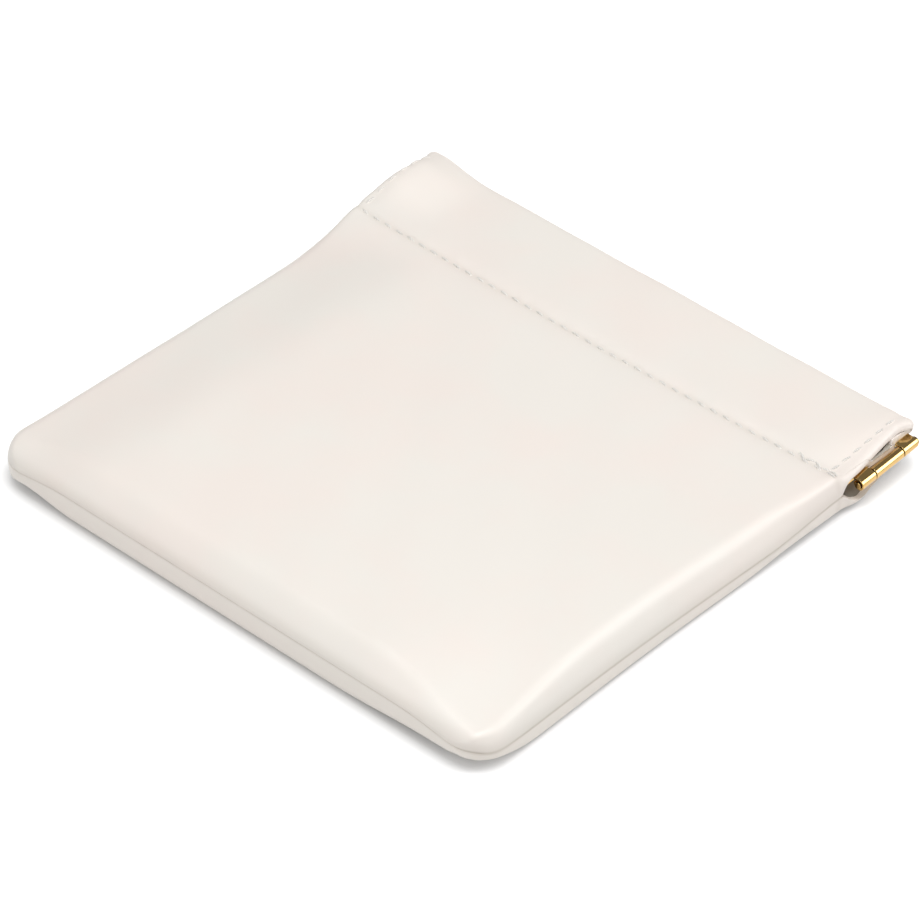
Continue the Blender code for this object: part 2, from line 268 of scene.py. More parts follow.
def half_width(y, side=1):
    """Half the pouch's width at a height up its face: round corners and a slight waist."""
    half = pouch_width / 2 - side_waist * math.sin(math.pi * min(y / stitch_line, 1.0)) ** 2
    half -= casing_narrowing * casing_opening(y)
    radius = corner_radius if side > 0 else left_corner_radius
    below = radius - y
    if below > 0.0:
        half -= radius - math.sqrt(max(radius ** 2 - below ** 2, 0.0))
    return half


def casing_opening(y):
    """How far a panel's side edges have left the seam for the casing's open ends."""
    return ease(stitch_line + 0.0004, stitch_line + 0.0042, y)


def panel_end(y, side, way):
    """Distance of a panel's side edge from the middle, with the casing's open ends."""
    if way > 0:
        reach = front_tip * ease(0.0925, 0.0955, y) - front_recess * ease(0.0785, 0.0920, y)
    else:
        reach = back_reach - back_reach * ease(0.0815, 0.0860, y)
    return half_width(y, side) + reach * casing_opening(y)


def end_roll(x, y, way):
    """How far a casing's turned end rolls inwards, from its outer face towards the strip."""
    inside = min(max((panel_end(y, x, way) - abs(x)) / roll_width, 0.0), 1.0)
    depth = front_roll if way > 0 else back_roll
    return depth * (1.0 - math.sqrt(1.0 - (1.0 - inside) ** 2)) * casing_opening(y)


def fullness(x, y):
    """How much steeper the front rises from its seam by the casing and at the corners."""
    by_casing = casing_fullness * ease(0.0620, 0.0790, y)
    corner = corner_fullness * ease(0.0400, 0.0470, abs(x)) * (1.0 - ease(0.0030, 0.0090, y))
    near_corner = near_corner_fullness * ease(0.0300, 0.0440, x)
    near_corner *= 1.0 - ease(0.0040, 0.0280, y)
    return 1.0 + max(by_casing, corner, near_corner)


def rounded_edge(width, start, steps):
    """Insets from an edge, with the share of the drop that is left at each."""
    reach, rise = math.cos(start), 1.0 - math.sin(start)
    angles = [mix(start, math.pi / 2, step / steps) for step in range(steps + 1)]
    return [(width * (1.0 - math.cos(angle) / reach), (1.0 - math.sin(angle)) / rise)
            for angle in angles]


def front_edge(width):
    """The front's edge, from the seam inwards: a short upright lip, then a sloping round."""
    lip = 1.0 - seam_lip / (crown_level - usual_seam_level)
    bend = rounded_edge(width - lip_lean, shoulder_start, shoulder_steps)
    return [(0.0, 1.0)] + [(lip_lean + inset, lip * drop) for inset, drop in bend]


def stitch_row(x):
    """The casing's stitch row, which sags a little in the middle."""
    return stitch_line - row_sag * (1.0 - min(abs(x) / 0.046, 1.0) ** 2)


def row_dent(x, y):
    """Share of the dent that the casing's stitch row pulls into the leather."""
    off_row = (y - stitch_row(x)) / row_dent_width
    return math.exp(-off_row * off_row) * (1.0 - ease(row_end, row_end + 0.0030, abs(x)))


def hide_waves(x, y):
    """Faint unevenness of the hide, in broad waves and in narrow ones."""
    broad = 0.00005 * math.sin(x * 190.0 + 0.8) * math.sin(y * 150.0 + x * 40.0)
    narrow = 0.00003 * math.sin(x * 430.0 + y * 260.0 + 2.1)
    return broad + narrow


def side_falls(x, y):
    """How far the front falls towards its left side and towards its near corner."""
    left = left_fall * ease(0.0280, 0.0485, -x) * (1.0 - ease(0.0700, stitch_line, y))
    near_corner = near_corner_fall * ease(0.0250, 0.0490, x) * (1.0 - ease(0.0, 0.0260, y))
    return left + near_corner


def end_rise(x, y):
    """Rise of the casing's ends: dented along their stitches, arched at the left over the
    hidden hinge, dipped at the right and lifted at the mouth."""
    in_casing = ease(stitch_line, stitch_line + 0.002, y)
    arch = mix(arch_height, arch_at_mouth, ease(0.0905, fold_line, y))
    arch *= ease(stitch_line + 0.0010, 0.0870, y)
    dip = mix(right_dip, 0.0, ease(0.0800, 0.0925, y)) * in_casing
    rise = arch * ease(0.0360, 0.0480, -x) - dip * ease(0.0420, 0.0480, x)
    for end_row in end_rows:
        off_end = (x - end_row) / end_row_dent_width
        rise -= end_row_dent * math.exp(-off_end * off_end) * in_casing
    return rise + mouth_lift * ease(0.0410, 0.0490, abs(x)) * ease(0.0880, fold_line, y)


def front_surface(x, y, drop):
    """Outer face of the front: a soft crown that falls to the casing."""
    along = min(max((y - crown_end) / (stitch_line - crown_end), 0.0), 1.0)
    fall = 0.5 * (1.0 + math.cos(math.pi * along))
    side = 1.0 - 0.25 * (2.0 * x / pouch_width) ** 2
    top = mix(casing_level, crown_level, fall * side)
    top += hide_waves(x, y) + end_rise(x, y)
    top -= front_row_dent * row_dent(x, y) + side_falls(x, y) + end_roll(x, y, 1)
    return mix(top, seam_level(x, y) + seam_gap, drop)


def extrude_by(x, y, z):
    """Extrudes what is selected and moves it by a distance along the room's axes."""
    bpy.ops.mesh.extrude_region_move(
        TRANSFORM_OT_translate={"value": (x, y, z), "orient_type": "GLOBAL"})


def panel_rows(edge):
    """Rows up a panel: distance from the bottom seam, with the share of the bottom drop."""
    rows = list(edge)
    first = rows[-1][0]
    step = (stitch_line - below_row - first) / body_rows
    rows += [(first + step * count, 0.0) for count in range(1, body_rows + 1)]
    near_row = (-0.0019, -0.0014, -0.0009, -0.0005, 0.0, 0.0005, 0.0009, 0.0014, 0.0020, 0.0030)
    rows += [(stitch_line + off, 0.0) for off in near_row]
    last = rows[-1][0]
    rows += [(mix(last, fold_line, count / casing_rows), 0.0)
             for count in range(1, casing_rows + 1)]
    return rows


def panel_sheet(name, side_edge, bottom_edge, surface, way):
    """Lays a flat grid of leather over the panel's form and folds its top edge in for the
    casing. way is 1 for the front and -1 for the back."""
    middle = [(mix(-1.0, 1.0, step / middle_columns), side_edge[-1][0], 0.0)
              for step in range(1, middle_columns)]
    columns = [(-1.0, inset, drop) for inset, drop in side_edge] + middle
    columns += [(1.0, inset, drop) for inset, drop in reversed(side_edge)]
    rows = panel_rows(bottom_edge)
    bpy.ops.object.select_all(action="DESELECT")
    bpy.ops.mesh.primitive_grid_add(x_subdivisions=len(columns) - 1,
                                    y_subdivisions=len(rows) - 1, size=2.0)
    panel = bpy.context.object
    panel.name = name
    for corner in panel.data.vertices:
        column = round((corner.co.x + 1.0) / 2.0 * (len(columns) - 1))
        row = round((corner.co.y + 1.0) / 2.0 * (len(rows) - 1))
        side, inset, drop = columns[column]
        y, bottom_drop = rows[row]
        opening = casing_opening(y)
        from_end = min(column, len(columns) - 1 - column, len(side_edge) - 1)
        spread = casing_spread * (from_end / (len(side_edge) - 1)) ** 2
        x = side * (panel_end(y, side, way) - mix(inset, spread, opening))
        drop *= 1.0 - opening
        larger = (drop ** corner_power + bottom_drop ** corner_power) ** (1.0 / corner_power)
        drop = min(larger, 1.0 - (1.0 - drop) * (1.0 - bottom_drop))
        if way > 0:
            drop **= fullness(x, y)
        corner.co = (x, y, surface(x, y, drop))
    bpy.ops.object.mode_set(mode="EDIT")
    bpy.ops.mesh.select_all(action="DESELECT")
    bpy.ops.mesh.select_mode(type="EDGE")
    sheet = bmesh.from_edit_mesh(panel.data)
    for edge in sheet.edges:
        edge.select = all(corner.co.y > fold_line - tolerance for corner in edge.verts)
    bmesh.update_edit_mesh(panel.data)
    fold_level = mouth_level + way * (casing_level - mouth_level - fold_radius)
    bpy.ops.mesh.spin(steps=fold_steps, angle=math.pi, axis=(way, 0.0, 0.0),
                      center=(0.0, fold_line, fold_level))
    for length in hem_runs:
        extrude_by(0.0, -length, 0.0)
    if way < 0:
        bpy.ops.mesh.select_all(action="SELECT")
        bpy.ops.mesh.flip_normals()
    bpy.ops.object.mode_set(mode="OBJECT")
    for corner in list(panel.data.vertices)[len(columns) * len(rows):]:
        turned = way * (fold_level - corner.co.z) / fold_radius
        drawn_in = fold_draw * ease(-1.0, 0.0, turned) + hem_draw * ease(0.35, 0.98, turned)
        if way > 0 and tab_low < corner.co.y < tab_high:
            drawn_in = tab_draw
            corner.co.z = min(corner.co.z, fold_level - fold_radius)
        corner.co.x *= 1.0 - drawn_in
    return panel


def finish_leather(panel, grain_side):
    """Gives a leather sheet its thickness, its two sides and its softened cut edges."""
    panel.data.materials.append(grain_side)
    panel.data.materials.append(flesh_side_and_shade)
    thickness = panel.modifiers.new("Thickness", "SOLIDIFY")
    # The inner side takes the flesh colour, which is partly painted shade.
    thickness.material_offset = 1
    thickness.thickness = leather_thickness
    thickness.offset = -1.0
    thickness.use_even_offset = True
    thickness.use_quality_normals = True
    softened = panel.modifiers.new("Softened edges", "BEVEL")
    softened.width = edge_round
    softened.segments = 3
    softened.limit_method = "ANGLE"
    softened.angle_limit = math.radians(50.0)
    smoothing = panel.modifiers.new("Smooth hide", "SUBSURF")
    smoothing.levels = 1
    smoothing.render_levels = 1
    bpy.ops.object.select_all(action="DESELECT")
    panel.select_set(True)
    bpy.context.view_layer.objects.active = panel
    for modifier in list(panel.modifiers):
        bpy.ops.object.modifier_apply(modifier=modifier.name)
    for face in panel.data.polygons:
        if abs(face.center.x) > rim_place and face.center.z > rim_level:
            face.material_index = 0
    bpy.ops.object.shade_smooth()
    panel.location.y = -middle_line
    bpy.ops.object.transform_apply(location=True, rotation=False, scale=False)


full_opening = 0.032
frame_lean = math.tan(math.radians(29.41))
flexure_place = 0.0165
flexure_softness = 0.002
fully_open_line = stitch_line - 0.002


def mouth_share(x, way):
    """Share of the mouth's opening that a panel takes at a place along the mouth."""
    past_flexure = max(abs(x) - flexure_place, 0.0)
    kept_back = flexure_softness * (1.0 - math.exp(-past_flexure / flexure_softness)) / 2
    bent = past_flexure - kept_back
    fallen = min(bent * frame_lean / full_opening, 0.5)
    return 1.0 - fallen if way > 0 else fallen


def opening_share(x, y, way):
    """Share of the opening at a point of a panel: none at the bottom seam, all at the mouth."""
    up = min(max((y + middle_line) / fully_open_line, 0.0), 1.0)
    return mouth_share(x, way) * mix(up, ease(0.0, 1.0, up), 0.5)


def follow_mouth(piece, way):
    """Lets a soft piece bend from the pouch's bottom to the front of the mouth."""
    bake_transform(piece, "pouch_body", "front_frame_middle",
             start=(0.0, -middle_line, 0.0), end=(0.0, stitch_line - middle_line, 0.0))
    shares = piece.data.attributes["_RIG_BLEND"].data
    for corner, share in zip(piece.data.vertices, shares):
        share.value = opening_share(corner.co.x, corner.co.y, way)


def new_material(name, colour, roughness, metallic=0.0):
    """A Principled material, with its nodes and links at hand."""
    material = bpy.data.materials.new(name)
    material.use_nodes = True
    shader = material.node_tree.nodes["Principled BSDF"]
    shader.inputs["Base Color"].default_value = (*colour, 1.0)
    shader.inputs["Roughness"].default_value = roughness
    shader.inputs["Metallic"].default_value = metallic
    return material, shader, material.node_tree.nodes, material.node_tree.links


def new_group(name, inputs, outputs):
    """An empty shader node group; inputs give name, type and default, outputs name and type."""
    group = bpy.data.node_groups.new(name, "ShaderNodeTree")
    for socket_name, kind, value in inputs:
        socket = group.interface.new_socket(socket_name, in_out="INPUT", socket_type=kind)
        if value is not None:
            socket.default_value = value
    for socket_name, kind in outputs:
        group.interface.new_socket(socket_name, in_out="OUTPUT", socket_type=kind)
    return group, group.nodes.new("NodeGroupInput"), group.nodes.new("NodeGroupOutput")


def noise_node(nodes, scale, detail):
    """A noise texture of a given fineness."""
    noise = nodes.new("ShaderNodeTexNoise")
    noise.inputs["Scale"].default_value = scale
    noise.inputs["Detail"].default_value = detail
    return noise


def colour_mix(nodes, first=None, second=None, blend_type="MIX"):
    """A node that mixes two colours; a colour that isn't given comes from a link."""
    mixed = nodes.new("ShaderNodeMix")
    mixed.data_type = "RGBA"
    mixed.blend_type = blend_type
    for socket_name, colour in (("A", first), ("B", second)):
        if colour is not None:
            mixed.inputs[socket_name].default_value = (*colour, 1.0)
    return mixed


def add_relief(nodes, links, height, shader, depth, strength):
    """Gives a shader a fine relief from a height, of a depth at full strength."""
    bump = nodes.new("ShaderNodeBump")
    bump.inputs["Distance"].default_value = depth
    bump.inputs["Strength"].default_value = strength
    links.new(height, bump.inputs["Height"])
    links.new(bump.outputs["Normal"], shader.inputs["Normal"])


hide_finish, hide_in, hide_out = new_group(
    "smooth_hide",
    [("Place", "NodeSocketVector", None), ("Warm", "NodeSocketColor", (0.9, 0.8, 0.7, 1.0)),
     ("Cool", "NodeSocketColor", (0.9, 0.8, 0.7, 1.0)),
     ("Crease_shade", "NodeSocketFloat", 0.0), ("Roughness", "NodeSocketFloat", 0.4)],
    [("Colour", "NodeSocketColor"), ("Roughness", "NodeSocketFloat"),
     ("Height", "NodeSocketFloat")])
hide_nodes, hide_links = hide_finish.nodes, hide_finish.links
blotches = noise_node(hide_nodes, 55.0, 3.0)
pores = hide_nodes.new("ShaderNodeTexVoronoi")
pores.inputs["Scale"].default_value = 3800.0
creping = noise_node(hide_nodes, 900.0, 4.0)
for texture in (blotches, pores, creping):
    hide_links.new(hide_in.outputs["Place"], texture.inputs["Vector"])
tone = colour_mix(hide_nodes)
tone_share = hide_nodes.new("ShaderNodeMapRange")
tone_share.inputs["From Min"].default_value = 0.38
tone_share.inputs["From Max"].default_value = 0.62
hide_links.new(blotches.outputs["Fac"], tone_share.inputs["Value"])
hide_links.new(tone_share.outputs["Result"], tone.inputs["Factor"])
hide_links.new(hide_in.outputs["Warm"], tone.inputs["A"])
hide_links.new(hide_in.outputs["Cool"], tone.inputs["B"])
# Painted shade: the colour is darkened by the crease shade share, in the seams and stitch rows.
painted_crease_shade = colour_mix(hide_nodes, second=(0.80, 0.78, 0.75), blend_type="MULTIPLY")
hide_links.new(hide_in.outputs["Crease_shade"], painted_crease_shade.inputs["Factor"])
hide_links.new(tone.outputs["Result"], painted_crease_shade.inputs["A"])
hide_links.new(painted_crease_shade.outputs["Result"], hide_out.inputs["Colour"])
worn = math_node(hide_nodes, "MULTIPLY_ADD", 0.10)
hide_links.new(creping.outputs["Fac"], worn.inputs[0])
hide_links.new(hide_in.outputs["Roughness"], worn.inputs[2])
hide_links.new(worn.outputs["Value"], hide_out.inputs["Roughness"])
pore_share = math_node(hide_nodes, "MULTIPLY_ADD", 0.35)
hide_links.new(pores.outputs["Distance"], pore_share.inputs[0])
hide_links.new(creping.outputs["Fac"], pore_share.inputs[2])
hide_links.new(pore_share.outputs["Value"], hide_out.inputs["Height"])


def leather_material(name, warm, cool, roughness):
    """Smooth ivory leather with a soft gloss, faint blotches, fine pores and painted shade in its seams and
    stitch rows.
    """
    material, shader, nodes, links = new_material(name, warm, roughness)
    shader.inputs["Coat Weight"].default_value = 0.25
    shader.inputs["Coat Roughness"].default_value = 0.24
    place = nodes.new("ShaderNodeTexCoord")
    crease_shade = nodes.new("ShaderNodeAttribute")
    crease_shade.attribute_name = "crease_shade"
    finish = nodes.new("ShaderNodeGroup")
    finish.node_tree = hide_finish
    finish.inputs["Warm"].default_value = (*warm, 1.0)
    finish.inputs["Cool"].default_value = (*cool, 1.0)
    finish.inputs["Roughness"].default_value = roughness
    links.new(place.outputs["Object"], finish.inputs["Place"])
    links.new(crease_shade.outputs["Fac"], finish.inputs["Crease_shade"])
    links.new(finish.outputs["Colour"], shader.inputs["Base Color"])
    links.new(finish.outputs["Roughness"], shader.inputs["Roughness"])
    add_relief(nodes, links, finish.outputs["Height"], shader, 0.00003, 0.25)
    return material


# The flesh side, the leather's back, is coloured a dark brown-grey: partly the leather's own, partly painted
# shade for the dark inside of the casing's open ends.
flesh_side_and_shade, flesh_shader, flesh_nodes, flesh_links = new_material(
    "flesh_side_and_shade", (0.46, 0.42, 0.36), 0.9)
flesh_place = flesh_nodes.new("ShaderNodeTexCoord")
nap = noise_node(flesh_nodes, 2400.0, 4.0)
flesh_and_shade_tone = colour_mix(flesh_nodes, (0.40, 0.36, 0.30), (0.52, 0.48, 0.42))
flesh_links.new(flesh_place.outputs["Object"], nap.inputs["Vector"])
flesh_links.new(nap.outputs["Fac"], flesh_and_shade_tone.inputs["Factor"])
flesh_links.new(flesh_and_shade_tone.outputs["Result"], flesh_shader.inputs["Base Color"])


# Reaches and strengths of the painted shade in the seams and stitch rows.
side_crease_reach = 0.0013
bottom_crease_reach = 0.0024
seam_shade = 0.35
row_crease_width = 0.0006
row_shade = 0.35


def mark_creases(panel, way):
    """Notes on each point of a panel its share of painted shade, by how deep it lies in the seam or in a
    stitch row.
    """
    marks = panel.data.attributes.new("crease_shade", "FLOAT", "POINT")
    for corner, mark in zip(panel.data.vertices, marks.data):
        x, y = corner.co.x, corner.co.y + middle_line
        over_seam = way * (corner.co.z - seam_level(x, y))
        from_side = half_width(y, x) - abs(x)
        beside_seam = from_side < side_crease_reach or y < bottom_crease_reach
        depth = 0.0
        if beside_seam and casing_opening(y) < 0.5:
            # The painted seam shade is deeper towards the right end.
            depth = mix(0.6, 1.4, ease(0.0440, 0.0480, x)) * (1.0 - ease(0.0, 0.0004, over_seam))
            depth = max(depth, seam_shade * way * (1.0 - ease(0.0003, 0.0024, over_seam)))
        in_row = math.exp(-((y - stitch_row(x)) / row_crease_width) ** 2)
        depth = max(depth, row_shade * in_row)
        mark.value = depth


front_panel = panel_sheet("front_leather", front_edge(side_shoulder), front_edge(bottom_shoulder),
                          front_surface, 1)
front_leather = leather_material("front_ivory_leather", (0.922, 0.846, 0.787),
                                 (0.905, 0.862, 0.803), 0.40)
finish_leather(front_panel, front_leather)
mark_creases(front_panel, 1)
follow_mouth(front_panel, 1)
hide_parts("front_panel")


# Back panel: the same leather, cut alike. It lies flat on the table, turns up to the seam
# in a low rounded wall and has its own casing under the mouth for the back strip.
side_floor_round = 0.0012
bottom_floor_round = 0.0019
floor_round_steps = 7
corner_rise = 0.0014
right_corner_rise = 0.0009
mouth_rise = 0.0017
right_end_drop = 0.0011
back_row_dent = 0.00030


def back_edge(width, floor_round):
    """The back's edge, from the seam inwards: a leaning wall, a round, then flat."""
    share = floor_round / usual_seam_level
    turn = rounded_edge(floor_round - lip_lean, 0.0, floor_round_steps)
    bend = [(lip_lean + inset, share * drop) for inset, drop in turn]
    flat = [(mix(floor_round, width, count / 3), 0.0) for count in (1, 2, 3)]
    return [(0.0, 1.0)] + bend + flat


def corner_lift(x, y):
    """How far the underside rises off the table towards its two bottom corners."""
    start = 0.0200 if x > 0.0 else 0.0330
    lift = corner_rise * ease(start, 0.0420, abs(x))
    if x > 0.0:
        lift += right_corner_rise * ease(0.0415, 0.0455, x)
    return lift * (1.0 - 0.20 * ease(0.0460, 0.0488, abs(x))) * (1.0 - ease(0.0030, 0.0110, y))


def back_surface(x, y, drop):
    """Outer face of the back: flat on the table, then lifted towards the mouth."""
    bottom = mouth_rise * ease(0.0540, stitch_line, y) + corner_lift(x, y)
    low_end = ease(0.0440, 0.0490, x) * ease(0.0640, 0.0770, y) * (1.0 - ease(0.0830, 0.0900, y))
    bottom -= right_end_drop * low_end
    bottom += back_row_dent * row_dent(x, y) + end_roll(x, y, -1)
    return mix(bottom, seam_level(x, y), drop)


back_panel = panel_sheet("back_leather", back_edge(side_shoulder, side_floor_round),
                         back_edge(bottom_shoulder, bottom_floor_round), back_surface, -1)
# Its colour is set a little lighter than the front's, as painted light on its low wall, which lies in shade.
back_leather = leather_material("back_ivory_leather", (0.930, 0.860, 0.795),
                                (0.915, 0.862, 0.795), 0.42)
finish_leather(back_panel, back_leather)
mark_creases(back_panel, -1)
follow_mouth(back_panel, -1)
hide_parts("back_panel")


# Linings: two thin pieces of plain woven cotton, cut to the inside of the panels and
# caught under the hems. They show only where the mouth stands open.
lining_thickness = 0.00035
lining_gap = 0.0003
lining_over_seam = 0.0003
lining_under_seam = 0.0001


def weave_group():
    """Plain weave: two sets of fine threads that cross, for cloth seen close."""
    group, inside, outside = new_group(
        "plain_weave",
        [("Place", "NodeSocketVector", None), ("Threads", "NodeSocketFloat", 1500.0)],
        [("Mask", "NodeSocketFloat")])
    waves = []
    for direction in ("X", "Y"):
        wave = group.nodes.new("ShaderNodeTexWave")
        wave.bands_direction = direction
        wave.inputs["Distortion"].default_value = 0.6
        wave.inputs["Detail"].default_value = 1.0
        group.links.new(inside.outputs["Place"], wave.inputs["Vector"])
        group.links.new(inside.outputs["Threads"], wave.inputs["Scale"])
        waves.append(wave)
    crossed = math_node(group.nodes, "MULTIPLY")
    group.links.new(waves[0].outputs["Fac"], crossed.inputs[0])
    group.links.new(waves[1].outputs["Fac"], crossed.inputs[1])
    group.links.new(crossed.outputs["Value"], outside.inputs["Mask"])
    return group


plain_weave = weave_group()


def cotton_material(name, light, dark):
    """Woven cotton whose thread shadows are a little darker than the threads."""
    material, shader, nodes, links = new_material(name, light, 0.85)
    shader.inputs["Sheen Weight"].default_value = 0.15
    place = nodes.new("ShaderNodeTexCoord")
    weave = nodes.new("ShaderNodeGroup")
    weave.node_tree = plain_weave
    links.new(place.outputs["Object"], weave.inputs["Place"])
    shade = colour_mix(nodes, dark, light)
    links.new(weave.outputs["Mask"], shade.inputs["Factor"])
    links.new(shade.outputs["Result"], shader.inputs["Base Color"])
    add_relief(nodes, links, weave.outputs["Mask"], shader, 0.00005, 0.4)
    return material


def lining_sheet(name, way):
    """A lining: a copy of its panel's lower face, drawn in by the leather's thickness."""
    inset = leather_thickness + lining_gap
    bpy.ops.object.select_all(action="DESELECT")
    bpy.ops.mesh.primitive_grid_add(x_subdivisions=44, y_subdivisions=40, size=2.0)
    cloth = bpy.context.object
    cloth.name = name
    for corner in cloth.data.vertices:
        across, up = corner.co.x, (corner.co.y + 1.0) / 2.0
        y = inset + (stitch_line - inset) * mix(up, ease(0.0, 1.0, up), 0.35)
        half = half_width(y) - inset
        if y < left_corner_radius:
            drawn = left_corner_radius - inset
            half = half_width(left_corner_radius) - inset - drawn
            half += math.sqrt(max(drawn ** 2 - (left_corner_radius - y) ** 2, 0.0))
        x = half * math.sin(across * math.pi / 2)
        to_side = half - abs(x)
        to_bottom = y - inset
        width = side_shoulder - inset
        falls = [1.0 - math.sin(math.acos(1.0 - min(gap / width, 1.0)))
                 for gap in (to_side, to_bottom)]
        drop = 1.0 - (1.0 - falls[0]) * (1.0 - falls[1])
        if way > 0:
            edge_level = seam_level(x, y) + lining_over_seam
            level = mix(front_surface(x, y, 0.0) - inset, edge_level, drop)
        else:
            edge_level = seam_level(x, y) - lining_under_seam
            level = mix(back_surface(x, y, 0.0) + inset, edge_level, drop ** 2)
        corner.co = (x, y, level)
    if way < 0:
        bpy.ops.object.mode_set(mode="EDIT")
        bpy.ops.mesh.flip_normals()
        bpy.ops.object.mode_set(mode="OBJECT")
    thickness = cloth.modifiers.new("Thickness", "SOLIDIFY")
    thickness.thickness = lining_thickness
    thickness.offset = -1.0
    bpy.ops.object.modifier_apply(modifier=thickness.name)
    bpy.ops.object.shade_smooth()
    cloth.location.y = -middle_line
    bpy.ops.object.transform_apply(location=True, rotation=False, scale=False)
    return cloth


for way, side_name in ((1, "front"), (-1, "back")):
    lining = lining_sheet(side_name + "_lining_cloth", way)
    lining.data.materials.append(cotton_material(side_name + "_lining_cotton",
                                                 (0.62, 0.56, 0.48), (0.44, 0.39, 0.33)))
    follow_mouth(lining, way)
    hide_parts(side_name + "_lining")


# Spring strips: brass-plated spring steel, half an inch wide. Each strip's ends run down
# a short ramp and are rolled round the hinge pin: two outer knuckles on the front strip
# mesh with one middle knuckle on the back strip. The ends are sprung a little out of level.
strip_width = 0.0127
strip_thickness = 0.00035
fold_clearance = 0.0006
strip_top = pouch_height - leather_thickness - fold_clearance - middle_line
strip_place = strip_top - strip_width / 2
leaf_offset = 0.001575
leaf_gap = 0.00015
pin_radius = 0.00032
pin_play = 0.00026
roll_radius = pin_radius + pin_play + strip_thickness / 2
pin_place = 0.0495
outer_knuckle = 0.00305
knuckle_gap = 0.0002
ramp_length = 0.0030
ramp_steps = 4
split_step = 3
roll_steps = 48
rolled_angle = math.radians(280.0)
hinge_tilt = 0.045
level_place = strip_top - 0.0040
square_millimetres = 1000000.0

brass_finish, brass_in, brass_out = new_group(
    "plated_brass",
    [("Place", "NodeSocketVector", None), ("Bright", "NodeSocketColor", (0.8, 0.6, 0.3, 1.0)),
     ("Dull", "NodeSocketColor", (0.6, 0.4, 0.2, 1.0)), ("Roughness", "NodeSocketFloat", 0.2)],
    [("Colour", "NodeSocketColor"), ("Roughness", "NodeSocketFloat"),
     ("Height", "NodeSocketFloat")])
brass_nodes, brass_links = brass_finish.nodes, brass_finish.links
tarnish = noise_node(brass_nodes, 420.0, 5.0)
drawn_lines = noise_node(brass_nodes, 2600.0, 2.0)
stretched = brass_nodes.new("ShaderNodeVectorMath")
stretched.operation = "MULTIPLY"
stretched.inputs[1].default_value = (1.0, 0.06, 1.0)
brass_links.new(brass_in.outputs["Place"], tarnish.inputs["Vector"])
brass_links.new(brass_in.outputs["Place"], stretched.inputs[0])
brass_links.new(stretched.outputs["Vector"], drawn_lines.inputs["Vector"])
plate_tone = colour_mix(brass_nodes)
brass_links.new(tarnish.outputs["Fac"], plate_tone.inputs["Factor"])
brass_links.new(brass_in.outputs["Bright"], plate_tone.inputs["A"])
brass_links.new(brass_in.outputs["Dull"], plate_tone.inputs["B"])
brass_links.new(plate_tone.outputs["Result"], brass_out.inputs["Colour"])
plate_wear = math_node(brass_nodes, "MULTIPLY_ADD", 0.03)
brass_links.new(tarnish.outputs["Fac"], plate_wear.inputs[0])
brass_links.new(brass_in.outputs["Roughness"], plate_wear.inputs[2])
brass_links.new(plate_wear.outputs["Value"], brass_out.inputs["Roughness"])
brass_links.new(drawn_lines.outputs["Fac"], brass_out.inputs["Height"])


def brass_material(name, bright, dull, roughness):
    """Bright brass plating with faint tarnish and the drawn lines of rolled strip."""
    material, shader, nodes, links = new_material(name, bright, roughness, 1.0)
    place = nodes.new("ShaderNodeTexCoord")
    finish = nodes.new("ShaderNodeGroup")
    finish.node_tree = brass_finish
    finish.inputs["Bright"].default_value = (*bright, 1.0)
    finish.inputs["Dull"].default_value = (*dull, 1.0)
    finish.inputs["Roughness"].default_value = roughness
    links.new(place.outputs["Object"], finish.inputs["Place"])
    links.new(finish.outputs["Colour"], shader.inputs["Base Color"])
    links.new(finish.outputs["Roughness"], shader.inputs["Roughness"])
    add_relief(nodes, links, finish.outputs["Height"], shader, 0.000004, 0.04)
    return material


strip_brass = brass_material("strip_brass", (0.72, 0.49, 0.20), (0.56, 0.36, 0.13), 0.05)
for node_name in ("front_spring_middle", "back_spring_middle"):
    middle_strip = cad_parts[node_name]
    middle_strip.data.materials.clear()
    middle_strip.data.materials.append(strip_brass)


